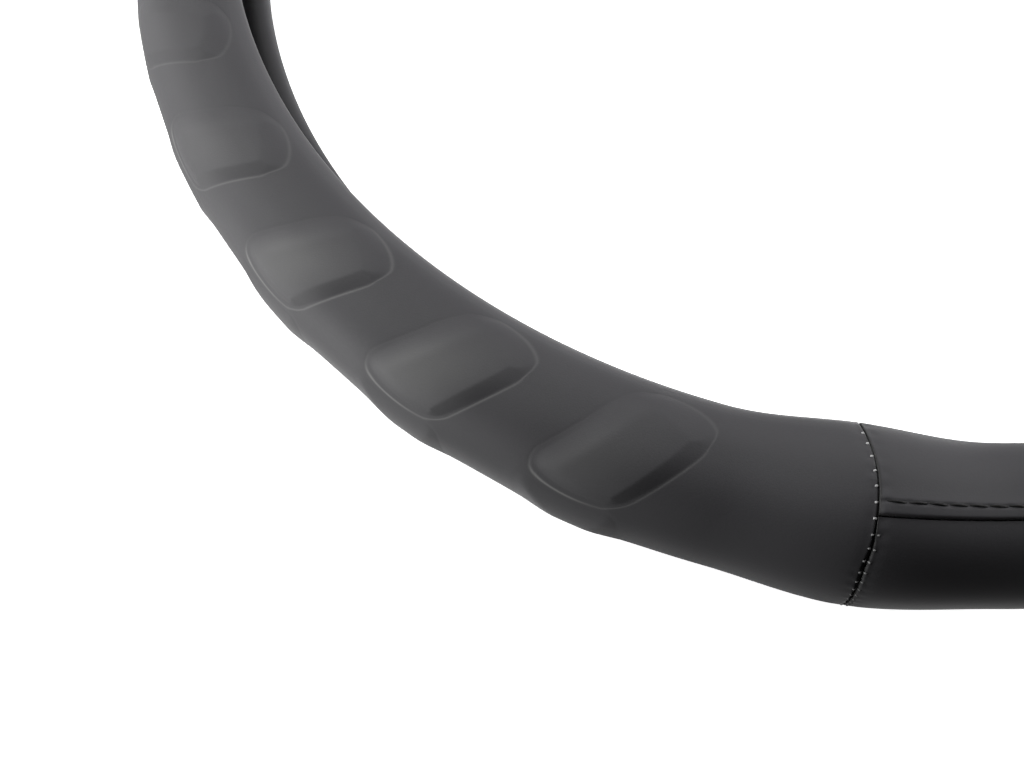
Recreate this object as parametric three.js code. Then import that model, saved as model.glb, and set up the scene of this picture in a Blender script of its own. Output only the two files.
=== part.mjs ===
// Slip-on steering wheel cover: a soft ring of C section that is open towards the wheel's hub.
// Millimetres, +Z up. The ring lies on its back with its front face up, six o'clock towards -Y, and
// the origin on the ground at the ring's centre.
//
// A place on the ring is given by two angles in degrees. The ring angle runs round the wheel axis
// from +X. The station runs round the section: 0 is the outer side, 90 the front face, 180 the inner
// side and -90 the back. Depth is measured inwards from the outer surface, along its normal.
import * as THREE from 'three';

// Ring and section
const OUTER_RADIUS = 190;
const SECTION_WIDTH = 30.4;
const SECTION_HEIGHT = 38;
const SECTION_POWER = 2.25;
const SECTION_TILT = -9.6;
const FOOT_CUT = 0.4;
const TOP = 90;
const LEFT = 180;
const BOTTOM = 270;

// Layers, from the outside in
const LEATHER = 1.2;
const FOAM = 1.6;
const RUBBER = 2.2;
const FIT_GAP = 0.35;

// Lips on both sides of the mouth, and the leather turned in round them
const FRONT_LIP = 149.6;
const BACK_LIP = -170;
const LIP_NOSE = 2.5;
const HEM_WIDTH = 6.5;
const SHOULDER_WIDTH = 10;

// Panels: a bottom and a top panel between two grip panels
const SHORT_PANEL_SPAN = 42.66;
const SEAM_RISE = 1.65;
const SEAM_RISE_SWING = 0.35;
const SEAM_RISE_REACH = 8.5;
const SEAM_ROW_SHARES = [0.3, 0.6];

// Lengthways seam of the bottom and top panels, with the front strip's folded edge along it
const STRIP_SEAM_MIDDLE = 84;
const STRIP_SEAM_DROP = 9;
const STRIP_EDGE_RISE = 0.3;
const STRIP_FOLD_RISE = 0.8;
const STRIP_FOLD_STATIONS = 2;
const FRONT_STRIP_FLAT = 10;
const BACK_STRIP_FLAT = 12;

// Grip pads: each has a pad on the front face and a bump beside it on the outer side
const PAD_COUNT = 10;
const PAD_PITCH = 12;
const PAD_HALF_WIDTH = 3.9;
const PAD_SLOPE = 0.8;
const PAD_HEIGHT = 1.1;
const PAD_SLANT = 0.066;
const PAD_CENTRE = 72;
const PAD_INNER_END = 122;
const PAD_OUTER_END = 24;
const PAD_END_SLOPE = 8;
const PAD_INNER_TAPER = 0.5;
const PAD_OUTER_TAPER = 0.8;
const PAD_END_ROUNDING = 0.9;
const BUMP_HEIGHT = 1.2;
const BUMP_BACK_END = -36;
const BUMP_TAPER = 0.5;

// Facets
const HIDDEN_STEPS = 7;
const NOSE_STEPS = 4;
const INNER_NOSE_STEPS = 2;
const BACK_ROW_SHARES = [0.35, 0.65];
const SIDE_ROW_SHARES = [0, 0.2, 0.4, 0.6, 0.8];
const FRONT_ROW_SHARES = [0, 1 / 3, 2 / 3, 1];
const GRIP_FOAM_STEPS = 24;
const SHORT_PANEL_STEPS = 8;
const RING_STEPS = 64;
const FOAM_CLEAR_STATIONS = 4;

const FOAM_DEPTH = LEATHER + FIT_GAP;
const RUBBER_DEPTH = FOAM_DEPTH + FOAM + FIT_GAP;
const LINER_DEPTH = RUBBER_DEPTH + RUBBER;
const HEM_DEPTH = LINER_DEPTH + FIT_GAP + LEATHER;
const LINE_RADIUS = OUTER_RADIUS - SECTION_WIDTH / 2;
const HALF_SHORT = SHORT_PANEL_SPAN / 2;
const HALF_GRIP = LEFT - TOP - HALF_SHORT;
const SECTION_CENTRE = new THREE.Vector2();
const FOOT_SEARCH = 45;
const FOOT_HALVINGS = 30;
const { degToRad, radToDeg, lerp, clamp } = THREE.MathUtils;

const leather = new THREE.MeshStandardMaterial({ color: 0x3b3c3e, roughness: 0.55, metalness: 0 });
const foam = new THREE.MeshStandardMaterial({ color: 0x5a5a58, roughness: 0.95, metalness: 0 });
const rubber = new THREE.MeshStandardMaterial({ color: 0x17181a, roughness: 0.7, metalness: 0 });

function signedPower(value, power) {
  return Math.sign(value) * Math.abs(value) ** power;
}

// A point of the section, from its centre: x away from the wheel axis, y up
function sectionPoint(station, depth) {
  const across = Math.cos(degToRad(station));
  const along = Math.sin(degToRad(station));
  const normal = new THREE.Vector2(
    signedPower(across, 2 - 2 / SECTION_POWER) / SECTION_WIDTH,
    signedPower(along, 2 - 2 / SECTION_POWER) / SECTION_HEIGHT,
  ).normalize();
  return new THREE.Vector2(
    signedPower(across, 2 / SECTION_POWER) * SECTION_WIDTH / 2,
    signedPower(along, 2 / SECTION_POWER) * SECTION_HEIGHT / 2,
  ).addScaledVector(normal, -depth).rotateAround(SECTION_CENTRE, degToRad(SECTION_TILT));
}

// The lowest station of the plain section, found by walking along its back
function lowestStation() {
  let lowest = -90;
  for (let station = -120; station <= -60; station += 0.25) {
    if (sectionPoint(station, 0).y < sectionPoint(lowest, 0).y) lowest = station;
  }
  return lowest;
}

// Where the flat foot ends, on one side of the lowest station
function footStation(side) {
  const foot = sectionPoint(LOWEST, 0).y + FOOT_CUT;
  let inside = LOWEST;
  let outside = LOWEST + side * FOOT_SEARCH;
  for (let step = 0; step < FOOT_HALVINGS; step += 1) {
    const middle = (inside + outside) / 2;
    if (sectionPoint(middle, 0).y < foot) inside = middle;
    else outside = middle;
  }
  return inside;
}

const LOWEST = lowestStation();
const LINE_HEIGHT = -sectionPoint(LOWEST, 0).y - FOOT_CUT;
const FOOT_STATIONS = [footStation(1), footStation(-1)];

// A point of the ring; nothing reaches below the ground, so the lowest places form a flat foot
function ringPoint(angle, station, depth) {
  const place = sectionPoint(station, depth);
  const radius = LINE_RADIUS + place.x;
  const turn = degToRad(angle);
  return new THREE.Vector3(
    radius * Math.cos(turn),
    radius * Math.sin(turn),
    Math.max(0, LINE_HEIGHT + place.y),
  );
}

// The station that lies a length in from a lip's edge, measured half way through the wall
function fromLip(lip, length) {
  const step = sectionPoint(lip, HEM_DEPTH / 2).distanceTo(sectionPoint(lip - Math.sign(lip), HEM_DEPTH / 2));
  return lip - Math.sign(lip) * length / step;
}

// Shared stations of the hidden faces, from the front shoulder to the back one. A pair of them
// stands on either side of the lengthways seam.
function hiddenStations() {
  const front = fromLip(FRONT_LIP, SHOULDER_WIDTH);
  const back = fromLip(BACK_LIP, SHOULDER_WIDTH);
  const low = STRIP_SEAM_MIDDLE - STRIP_SEAM_DROP - FOAM_CLEAR_STATIONS;
  const stations = [front, STRIP_SEAM_MIDDLE + FOAM_CLEAR_STATIONS];
  for (let step = 0; step <= HIDDEN_STEPS; step += 1) stations.push(lerp(low, back, step / HIDDEN_STEPS));
  return stations;
}

// Half an ellipse round a lip, as stations and depths, from the outer face to the inner face
function noseCurve(lip, outerDepth, innerDepth, inset, nose, steps) {
  const curve = [];
  for (let step = 0; step <= steps; step += 1) {
    const turn = Math.PI * step / steps;
    const length = inset + nose * (1 - Math.sin(turn));
    const depth = lerp(outerDepth, innerDepth, (1 - Math.cos(turn)) / 2);
    curve.push({ station: fromLip(lip, length), depth });
  }
  return curve;
}

// Leather round one lip: out round the nose, along the hem to its raw edge, and back inside it
function turnedLip(lip) {
  const outside = noseCurve(lip, 0, HEM_DEPTH, 0, LIP_NOSE, NOSE_STEPS).slice(1);
  const inside = noseCurve(lip, LEATHER, HEM_DEPTH - LEATHER, LEATHER, LIP_NOSE, INNER_NOSE_STEPS);
  const rawEdge = fromLip(lip, HEM_WIDTH);
  const hem = [
    { station: rawEdge, depth: HEM_DEPTH },
    { station: rawEdge, depth: HEM_DEPTH - LEATHER },
  ];
  return [...outside, ...hem, ...inside.reverse()];
}

// Height of the raised leather beside a cross seam, at a ring angle's distance from the seam
function seamRise(distance, station) {
  const near = clamp(1 - distance / SEAM_RISE_REACH, 0, 1);
  const rise = SEAM_RISE - SEAM_RISE_SWING * Math.cos(degToRad(station));
  return rise * near * near * (3 - 2 * near);
}

// A closed body from rows of points, each row once round the section, with flat ends
function sweptBody(rows, endless) {
  const count = rows[0].length;
  const faces = [];
  const rowPairs = endless ? rows.length : rows.length - 1;
  for (let row = 0; row < rowPairs; row += 1) {
    const start = row * count;
    const next = ((row + 1) % rows.length) * count;
    for (let at = 0; at < count; at += 1) {
      const after = (at + 1) % count;
      faces.push([start + at, start + after, next + after]);
      faces.push([start + at, next + after, next + at]);
    }
  }
  if (!endless) {
    faces.push(...endFaces(rows[0], 0, true));
    faces.push(...endFaces(rows.at(-1), (rows.length - 1) * count, false));
  }
  const geometry = new THREE.BufferGeometry().setFromPoints(rows.flat());
  geometry.setIndex(faces.flat());
  return facingOut(geometry);
}

// Triangles over one end, wound against the row or along it
function endFaces(row, first, against) {
  const outline = row.map((point) => new THREE.Vector2(Math.hypot(point.x, point.y), point.z));
  const clockwise = THREE.ShapeUtils.isClockWise(outline);
  return THREE.ShapeUtils.triangulateShape(outline, []).map((face) => {
    const alike = THREE.ShapeUtils.isClockWise(face.map((index) => outline[index])) === clockwise;
    const along = alike ? face : [...face].reverse();
    return (against ? [...along].reverse() : along).map((index) => first + index);
  });
}

// Turns every face round where the body is inside out, as a mirrored one is
function facingOut(geometry) {
  const place = geometry.getAttribute('position');
  const index = geometry.getIndex();
  const corner = (at) => new THREE.Vector3().fromBufferAttribute(place, index.getX(at));
  let volume = 0;
  for (let at = 0; at < index.count; at += 3) volume += corner(at).dot(corner(at + 1).cross(corner(at + 2)));
  if (volume < 0) geometry.setIndex(Array.from(index.array).reverse());
  geometry.computeVertexNormals();
  return geometry;
}

// Ring angles from one end of a panel to the other, with half the fitting gap left at each end
function panelAngles(start, end, steps) {
  const gap = radToDeg(FIT_GAP / 2 / LINE_RADIUS);
  const angles = [];
  for (let step = 0; step <= steps; step += 1) angles.push(lerp(start + gap, end - gap, step / steps));
  return angles;
}

// Rows of a grip panel: a few near each seam, and four for each pad, from foot to foot of its slopes
function gripRows() {
  const gap = radToDeg(FIT_GAP / 2 / LINE_RADIUS);
  const widths = [-PAD_HALF_WIDTH, PAD_SLOPE - PAD_HALF_WIDTH, PAD_HALF_WIDTH - PAD_SLOPE, PAD_HALF_WIDTH];
  const seamRows = [gap, ...SEAM_ROW_SHARES.map((share) => SEAM_RISE_REACH * share)];
  const plain = { width: 0, onPad: false, slant: 0 };
  const rows = seamRows.map((inset) => ({ ...plain, centre: LEFT - HALF_GRIP + inset }));
  for (let pad = 0; pad < PAD_COUNT; pad += 1) {
    const centre = LEFT + (pad - (PAD_COUNT - 1) / 2) * PAD_PITCH;
    widths.forEach((width, at) => rows.push({ centre, width, onPad: at === 1 || at === 2, slant: 1 }));
  }
  const lastRows = [...seamRows].reverse();
  lastRows.forEach((inset) => rows.push({ ...plain, centre: LEFT + HALF_GRIP - inset }));
  return rows;
}

// Stations of a grip panel's outer face, with each one's share of the pad's width and its height
function gripStations() {
  const inner = PAD_INNER_END - PAD_END_SLOPE;
  const outer = PAD_OUTER_END + PAD_END_SLOPE;
  const bumpFront = PAD_OUTER_END - PAD_END_SLOPE;
  const bumpBack = BUMP_BACK_END + PAD_END_SLOPE;
  const backRows = BACK_ROW_SHARES.map((share) => lerp(FOOT_STATIONS[1], BACK_LIP, share));
  return [
    { station: fromLip(FRONT_LIP, LIP_NOSE), share: PAD_INNER_TAPER, height: 0 },
    { station: PAD_INNER_END, share: PAD_INNER_TAPER, height: 0 },
    { station: inner, share: PAD_END_ROUNDING, height: PAD_HEIGHT },
    { station: lerp(inner, outer, 1 / 3), share: 1, height: PAD_HEIGHT },
    { station: lerp(inner, outer, 2 / 3), share: 1, height: PAD_HEIGHT },
    { station: outer, share: 1, height: PAD_HEIGHT },
    { station: PAD_OUTER_END, share: PAD_OUTER_TAPER, height: 0 },
    { station: bumpFront, share: 1, height: BUMP_HEIGHT },
    { station: lerp(bumpFront, bumpBack, 1 / 2), share: 1, height: BUMP_HEIGHT },
    { station: bumpBack, share: PAD_END_ROUNDING, height: BUMP_HEIGHT },
    { station: BUMP_BACK_END, share: BUMP_TAPER, height: 0 },
    { station: FOOT_STATIONS[0], share: 1, height: 0 },
    { station: FOOT_STATIONS[1], share: 1, height: 0 },
    ...backRows.map((station) => ({ station, share: 1, height: 0 })),
    { station: fromLip(BACK_LIP, LIP_NOSE), share: 1, height: 0 },
  ];
}

// How far a pad's middle line leans along the ring at a station
function padLean(station) {
  const upright = PAD_OUTER_END + PAD_END_SLOPE;
  return PAD_SLANT * (clamp(station, upright, PAD_INNER_END) - PAD_CENTRE);
}

// The left grip panel: one length of leather from lip to lip with the pads pressed up out of it.
// The soft fill of each pad is bonded to the leather, so the back of the panel stays smooth.
function gripPanel() {
  const outer = gripStations();
  const hidden = hiddenStations().reverse();
  return sweptBody(gripRows().map(({ centre, width, onPad, slant }) => {
    const seamDistance = HALF_GRIP - Math.abs(centre - LEFT);
    const face = outer.map(({ station, share, height }) => {
      const angle = centre + width * share + slant * padLean(station);
      const rise = onPad ? height : seamRise(seamDistance, station);
      return ringPoint(angle, station, -(slant && !onPad ? 0 : rise));
    });
    const back = [
      ...turnedLip(BACK_LIP),
      ...hidden.map((station) => ({ station, depth: LEATHER })),
      ...turnedLip(FRONT_LIP).reverse(),
    ].map(({ station, depth }) => lipPoint(centre + width, station, depth, seamDistance));
    return [...face, ...back];
  }), false);
}

// A point of the leather behind its outer face; the turned lips rise beside a seam as the face does
function lipPoint(angle, station, depth, seamDistance) {
  const outward = clamp(1 - depth / LEATHER, 0, 1);
  return ringPoint(angle, station, depth - outward * seamRise(seamDistance, station));
}

// Station of the lengthways seam at a share of the way from the panel's middle to its end
function stripSeam(share) {
  return STRIP_SEAM_MIDDLE - STRIP_SEAM_DROP * share * share;
}

// Half the fitting gap beside the lengthways seam, in stations
function seamGapStations() {
  const step = sectionPoint(STRIP_SEAM_MIDDLE, 0).distanceTo(sectionPoint(STRIP_SEAM_MIDDLE - 1, 0));
  return FIT_GAP / 2 / step;
}

// One strip of the bottom panel, from the lengthways seam to a lip; its folded edge stands up a little
function bottomStrip(faceStations, lip, side, edgeRise, foldRise) {
  const hidden = hiddenStations().filter((station) => Math.sign(station - STRIP_SEAM_MIDDLE) === side);
  const towardsSeam = side > 0 ? hidden : hidden.reverse();
  return sweptBody(panelAngles(BOTTOM - HALF_SHORT, BOTTOM + HALF_SHORT, SHORT_PANEL_STEPS).map((angle) => {
    const share = Math.abs(angle - BOTTOM) / HALF_SHORT;
    const distance = (1 - share) * HALF_SHORT;
    const edge = stripSeam(share) + side * seamGapStations();
    const rise = (station) => seamRise(distance, station);
    return [
      ringPoint(angle, edge, -edgeRise - rise(edge)),
      ringPoint(angle, edge + side * STRIP_FOLD_STATIONS, -foldRise - rise(edge)),
      ...faceStations.map((station) => ringPoint(angle, station, -rise(station))),
      ...turnedLip(lip).map(({ station, depth }) => lipPoint(angle, station, depth, distance)),
      ...towardsSeam.map((station) => ringPoint(angle, station, LEATHER)),
      ringPoint(angle, edge, LEATHER),
    ];
  }), false);
}

function bottomFrontStrip() {
  const start = STRIP_SEAM_MIDDLE + FRONT_STRIP_FLAT;
  const end = fromLip(FRONT_LIP, LIP_NOSE);
  const stations = FRONT_ROW_SHARES.map((share) => lerp(start, end, share));
  return bottomStrip(stations, FRONT_LIP, 1, STRIP_EDGE_RISE, STRIP_FOLD_RISE);
}

function bottomBackStrip() {
  const start = STRIP_SEAM_MIDDLE - STRIP_SEAM_DROP - BACK_STRIP_FLAT;
  const front = SIDE_ROW_SHARES.map((share) => lerp(start, FOOT_STATIONS[0], share));
  const back = BACK_ROW_SHARES.map((share) => lerp(FOOT_STATIONS[1], BACK_LIP, share));
  const stations = [...front, ...FOOT_STATIONS, ...back, fromLip(BACK_LIP, LIP_NOSE)];
  return bottomStrip(stations, BACK_LIP, -1, 0, 0);
}

// A length of foam that lies in the rubber ring's pocket, under the leather
function foamBody(start, end, steps) {
  const edges = foamEdges();
  const middle = hiddenStations().slice(1, -1);
  const stations = [edges.front, ...middle, edges.back];
  return sweptBody(panelAngles(start, end, steps).map((angle) => [
    ...stations.map((station) => ringPoint(angle, station, FOAM_DEPTH)),
    ...[...stations].reverse().map((station) => ringPoint(angle, station, FOAM_DEPTH + FOAM)),
  ]), false);
}

// Where the foam ends beside the two shoulders of the rubber ring
function foamEdges() {
  const inset = SHOULDER_WIDTH + FIT_GAP * 2;
  return { front: fromLip(FRONT_LIP, inset), back: fromLip(BACK_LIP, inset) };
}

// The moulded rubber ring: thick shoulders at both lips, and a pocket for the foam between them
function rubberRing() {
  const stations = hiddenStations();
  const inset = LEATHER + FIT_GAP;
  const nose = LIP_NOSE - FIT_GAP;
  const frontNose = noseCurve(FRONT_LIP, FOAM_DEPTH, LINER_DEPTH, inset, nose, INNER_NOSE_STEPS);
  const backNose = noseCurve(BACK_LIP, FOAM_DEPTH, LINER_DEPTH, inset, nose, INNER_NOSE_STEPS);
  const outline = [
    ...frontNose.reverse(),
    { station: stations[0], depth: FOAM_DEPTH },
    ...stations.map((station) => ({ station, depth: RUBBER_DEPTH })),
    { station: stations.at(-1), depth: FOAM_DEPTH },
    ...backNose,
    { station: fromLip(BACK_LIP, HEM_WIDTH), depth: LINER_DEPTH },
    ...stations.slice(1, -1).reverse().map((station) => ({ station, depth: LINER_DEPTH })),
    { station: fromLip(FRONT_LIP, HEM_WIDTH), depth: LINER_DEPTH },
  ];
  const rows = [];
  for (let step = 0; step < RING_STEPS; step += 1) {
    const angle = 360 * step / RING_STEPS;
    rows.push(outline.map(({ station, depth }) => ringPoint(angle, station, depth)));
  }
  return sweptBody(rows, true);
}

function mirrored(geometry) {
  return facingOut(geometry.clone().scale(-1, 1, 1));
}

function turnedRound(geometry) {
  return geometry.clone().rotateZ(Math.PI);
}

function piece(name, geometry, material) {
  const mesh = new THREE.Mesh(geometry, material);
  mesh.name = name;
  return mesh;
}

const leftGripPanel = gripPanel();
const leftGripFoam = foamBody(LEFT - HALF_GRIP, LEFT + HALF_GRIP, GRIP_FOAM_STEPS);
const bottomFoam = foamBody(BOTTOM - HALF_SHORT, BOTTOM + HALF_SHORT, SHORT_PANEL_STEPS);
const frontStrip = bottomFrontStrip();
const backStrip = bottomBackStrip();

const cover = new THREE.Group();
cover.add(
  piece('inner_grip_ring', rubberRing(), rubber),
  piece('left_grip_foam', leftGripFoam, foam),
  piece('right_grip_foam', mirrored(leftGripFoam), foam),
  piece('bottom_foam', bottomFoam, foam),
  piece('top_foam', turnedRound(bottomFoam), foam),
  piece('left_grip_panel', leftGripPanel, leather),
  piece('right_grip_panel', mirrored(leftGripPanel), leather),
  piece('bottom_front_panel', frontStrip, leather),
  piece('bottom_back_panel', backStrip, leather),
  piece('top_front_panel', turnedRound(frontStrip), leather),
  piece('top_back_panel', turnedRound(backStrip), leather),
);

export default cover;
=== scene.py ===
"""Steering wheel cover: the looks of its leather panels, seams, stitching and rubber liner.

Lengths are millimetres and angles degrees until a mesh is made. A place on the ring has a ring angle
about the wheel axis and a station round the section: 0 outer side, 90 front face, 180 inner side and
-90 back. Depth runs inwards from the plain outer surface."""

import math

import bpy
import numpy as np
from mathutils import Matrix, Vector


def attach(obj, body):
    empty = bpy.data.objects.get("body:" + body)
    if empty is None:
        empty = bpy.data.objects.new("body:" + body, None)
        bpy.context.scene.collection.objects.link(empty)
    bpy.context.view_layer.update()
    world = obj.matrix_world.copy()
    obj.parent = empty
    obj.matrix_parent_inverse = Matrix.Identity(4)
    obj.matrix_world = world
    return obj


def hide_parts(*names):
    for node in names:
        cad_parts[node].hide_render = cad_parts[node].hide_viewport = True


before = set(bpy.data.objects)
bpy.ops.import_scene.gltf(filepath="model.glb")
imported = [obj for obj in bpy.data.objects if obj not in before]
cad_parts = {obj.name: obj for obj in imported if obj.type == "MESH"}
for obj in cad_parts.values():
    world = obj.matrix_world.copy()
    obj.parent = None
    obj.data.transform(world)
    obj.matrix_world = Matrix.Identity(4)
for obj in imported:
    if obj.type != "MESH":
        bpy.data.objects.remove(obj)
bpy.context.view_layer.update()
MM = 0.001

# Ring and section
OUTER_RADIUS = 190.0
SECTION_WIDTH = 30.4
SECTION_HEIGHT = 38.0
SECTION_POWER = 2.25
SECTION_TILT = -9.6
FOOT_CUT = 0.4
LINE_RADIUS = OUTER_RADIUS - SECTION_WIDTH / 2

# Layers and lips
LEATHER = 1.2
FOAM = 1.6
RUBBER = 2.2
FIT_GAP = 0.35
FOAM_DEPTH = LEATHER + FIT_GAP
RUBBER_DEPTH = FOAM_DEPTH + FOAM + FIT_GAP
LINER_DEPTH = RUBBER_DEPTH + RUBBER
HEM_DEPTH = LINER_DEPTH + FIT_GAP + LEATHER
FRONT_LIP = 149.6
BACK_LIP = -170.0
LIP_NOSE = 2.5
HEM_WIDTH = 6.5
SHOULDER_WIDTH = 10.0
NOSE_STEPS = 12
INNER_NOSE_STEPS = 5
HEM_STEPS = 3

# Panels and the cross seams between them; a pair of stations is where a change begins and ends
SHORT_SPAN = 42.66
GRIP_SPAN = 180 - SHORT_SPAN
SEAM_GAP = 0.12
SEAM_RISE = 1.95
SEAM_RISE_REACH = 8.5
INNER_SWING = 1.2
INNER_SWING_STATIONS = (80, 145)
OUTER_SWING = 0.22
OUTER_SWING_STATIONS = (60, 35)
SEAM_EDGE_DROP = 0.5
SEAM_EDGE_WIDTH = 0.5
SEAM_EDGE_GROWTH = 0.7
SEAM_GROWTH_STATIONS = (72, 42)
# Width of the shade painted into the cross seams
SEAM_SHADE_WIDTH = 0.32
PUCKER_DEPTH = 0.12
PUCKER_INSET = 1.1
PUCKER_WIDTH = 0.8

# Strips of the short panels, and the folded edge of the front one along the lengthways seam
STRIP_SEAM_MIDDLE = 78.8
STRIP_SEAM_DROP = 5.6
STRIP_EDGE_SHARE = 0.12
STRIP_FULLNESS = 0.55
FULLNESS_STATION = -5
FULLNESS_LENGTH = 45
FOLD_GAP = 0.15
FOLD_HEIGHT = 0.62
FOLD_FADE = 2.2
FOLD_ROUNDING = 0.75
FOLD_DROP = 1.25
FOLD_END = 1.2
GROOVE_DEPTH = 0.14
GROOVE_PULL = 0.14
GROOVE_WIDTH = 0.34

# Grip pads: outline in degrees of lean to both sides of the slanted middle, and stations of the ends
PAD_COUNT = 10
PAD_PITCH = 12.0
PAD_FIRST = 180 - (PAD_COUNT - 1) / 2 * PAD_PITCH
PAD_CENTRE = 72.0
PAD_SLANT = 0.066
PAD_SLANT_START = 28
PAD_LEFT = 3.4
PAD_RIGHT = 3.5
PAD_SIDE_ROUNDING = 1.0
PAD_INNER_END = 122.0
PAD_INNER_SHOULDER = 94.0
PAD_INNER_ROUNDING = 2.5
PAD_FALL_START = 1.9
PAD_FALL_POWER = 1.5
PAD_OUTER_END = 25.0
PAD_OUTER_BOW = 0.85
PAD_OUTER_MIDDLE = 1.2
PAD_OUTER_ROUNDING = 3.0
PAD_HEIGHT = 0.7
PAD_SLOPE = 3.8
FOOT_ROUNDING = 0.07
CREASE_DEPTH = 0.03
CREASE_WIDTH = 0.42

# An ease under 1 makes a slope wider than PAD_SLOPE or BUMP_SLOPE
PAD_LEFT_EASE = 0.6
PAD_INNER_EASE = 0.85
PAD_OUTER_EASE = 0.9
BUMP_FRONT_EASE = 0.6

# Bumps beside the pads
BUMP_LEAN = -2.4
BUMP_HALF_WIDTH = 3.15
BUMP_FRONT_END = 19.0
BUMP_FRONT_BOW = 0.5
BUMP_FRONT_MIDDLE = 1.0
BUMP_FRONT_ROUNDING = 2.5
BUMP_BACK_END = -38.0
BUMP_BACK_ROUNDING = 6.0
BUMP_HEIGHT = 1.4
BUMP_SLOPE = 5.0
BUMP_ROUNDING = 0.9

# Line pressed round a pad, with a highlight painted along it: how clearly the painted highlight shows on
# each side, and far from the rubbed pads
PRESS_LINE = 0.3
PRESS_LINE_DEPTH = 0.02
PLAIN_LINE_SHARE = 0.5
FAR_LINE_SHARE = 0.4
LEFT_LINE_SHARE = 0.06
LEFT_LINE_LEANS = (0.2, 1.8)
INNER_LINE_SHARE = 0.5
INNER_LINE_STATIONS = (70, 100)
OUTER_LINE_STATIONS = (58, 40)
OUTER_LINE_LEANS = (2.4, 0)

# Where a hand has rubbed the pads
WORN_ANGLE = 216
WORN_REACH = 18
WORN_LEAN = -0.7
WORN_WIDTH = 3.0
WORN_STATION = 63
WORN_LENGTH = 27
WORN_FOOT_SHARE = 0.1

# Colours of the leather
CHARCOAL_DARK = (0.0220, 0.0213, 0.0240)
CHARCOAL_LIGHT = (0.0280, 0.0273, 0.0300)
RUBBED_COLOUR = (0.066, 0.066, 0.0662)
# Painted highlight along the pressed lines round the pads
LINE_HIGHLIGHT_COLOUR = (0.110, 0.110, 0.108)
# Painted shade in the cross seams
SEAM_SHADE_COLOUR = (0.004, 0.004, 0.004)

# Stitching: a loop of thread has its two ends in the leather and is pulled towards its top
CROSS_PITCH = 2.57
CROSS_FIRST = 4.0
CROSS_LOOP = [(0.72, 0, -0.3), (0.56, 0, 0.66), (0.1, 0, -0.7)]
CROSS_BED = 0.2
CROSS_THREAD = 0.22
FRONT_CROSS_THREAD = 0.26
CROSS_PAIR_STATION = 70
TOPSTITCH_PITCH = 3.6
TOPSTITCH_INSET = 2.4
TOPSTITCH_FIRST = 0.3
TOPSTITCH_LOOP = [(-0.14, -1.6, -0.25), (0, 0, 0.6), (0.14, 1.6, -0.25)]
TOPSTITCH_THREAD = 0.21
STITCH_LEAN = 0.12
STITCH_SEED = 5
STITCH_FLOOR = 0.95

# Mesh of the leather: places and steps that follow the seams, the pads and the lips
SEAM_COLUMNS = np.array([0, 0.03, 0.07, 0.12, 0.18, 0.26, 0.36, 0.5, 0.7, 0.95, 1.25])
PAD_COLUMNS = [(-3.8, -2.0, 0.2), (-2.0, 2.1, 0.3), (2.1, 3.95, 0.09), (3.95, 7.9, 0.6)]
END_COLUMNS = 11
COLUMN_STEP = 0.4
COLUMN_GAP = 0.3
SLANT_MARGIN = 0.6
FACE_MARKS = [126, 90, 40, 18, -42]
FACE_STEPS = [1.2, 0.3, 1.0, 0.3, 0.9, 2.2]
HIDDEN_ROWS = 9
OUTLINE_REACH = 4
STRIP_END_COLUMN = 1.6
STRIP_MIDDLE_START = 2.0
STRIP_COLUMNS = 250
FOLD_ROWS = 9
STRIP_ROWS = np.concatenate([[1.0, 1.3], np.arange(1.55, 3.3, 0.12), np.arange(3.5, 5.5, 0.4)])
FRONT_STRIP_ROWS = (24, 4)
BACK_STRIP_ROWS = (100, 14)

# Rubber liner
LINER_NOSE_STEPS = 8
LINER_POCKET_ROWS = 24
LINER_INNER_ROWS = 60
LINER_COLUMNS = 360
LINER_RIBS = 20
LINER_RIB_DEPTH = 0.25
LINER_HEM_MARGIN = 1.0

# Camera
CAMERA_PLACE = (-140.1, -251.2, 250.0)
CAMERA_VIEW = (0.0653, 0.4931, -0.8675)
CAMERA_UP = (0.1982, 0.8456, 0.4956)
CAMERA_LENS = 45.75

# Studio, in metres and watts: name, azimuth, elevation, size and power of each soft light
FLOOR_REACH = 25.0
FLOOR_GLOW = 1.0
WORLD_GLOW = 0.03
LIGHT_AIM = (-0.08, -0.12, 0.02)
LIGHT_DISTANCE = 1.8
SOFTBOXES = [
    ("left_under", 180, -18, 1.0, 32),
    ("left_back_low", 150, 8, 1.0, 16),
    ("left_back_high", 150, 40, 1.0, 35),
    ("back_left_high", 120, 40, 1.0, 8),
    ("back_high", 90, 40, 1.0, 11.5),
    ("right_low", 0, 8, 1.0, 70),
    ("right_under", 10, -20, 1.0, 58),
]


def signed_power(value, power):
    return np.sign(value) * np.abs(value) ** power


def section_point(station, depth):
    """Place in the section, from its centre: away from the wheel axis, and up."""
    turn = np.radians(station)
    across, along = np.cos(turn), np.sin(turn)
    out = 2 - 2 / SECTION_POWER
    normal_x = signed_power(across, out) / SECTION_WIDTH
    normal_y = signed_power(along, out) / SECTION_HEIGHT
    length = np.hypot(normal_x, normal_y)
    x = signed_power(across, 2 / SECTION_POWER) * SECTION_WIDTH / 2 - depth * normal_x / length
    y = signed_power(along, 2 / SECTION_POWER) * SECTION_HEIGHT / 2 - depth * normal_y / length
    tilt = math.radians(SECTION_TILT)
    return x * math.cos(tilt) - y * math.sin(tilt), x * math.sin(tilt) + y * math.cos(tilt)


# Height of the section's centre, so low that the ground cuts the lowest part of the back off flat
LINE_HEIGHT = -section_point(np.linspace(-120, -60, 241), 0)[1].min() - FOOT_CUT


def ring_point(angle, station, depth):
    """Points in millimetres; nothing reaches below the ground, which gives the flat foot."""
    x, y = section_point(station, depth)
    radius = LINE_RADIUS + x
    turn = np.radians(angle)
    height = np.maximum(0, LINE_HEIGHT + y)
    return np.stack(np.broadcast_arrays(radius * np.cos(turn), radius * np.sin(turn), height), -1)


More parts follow.
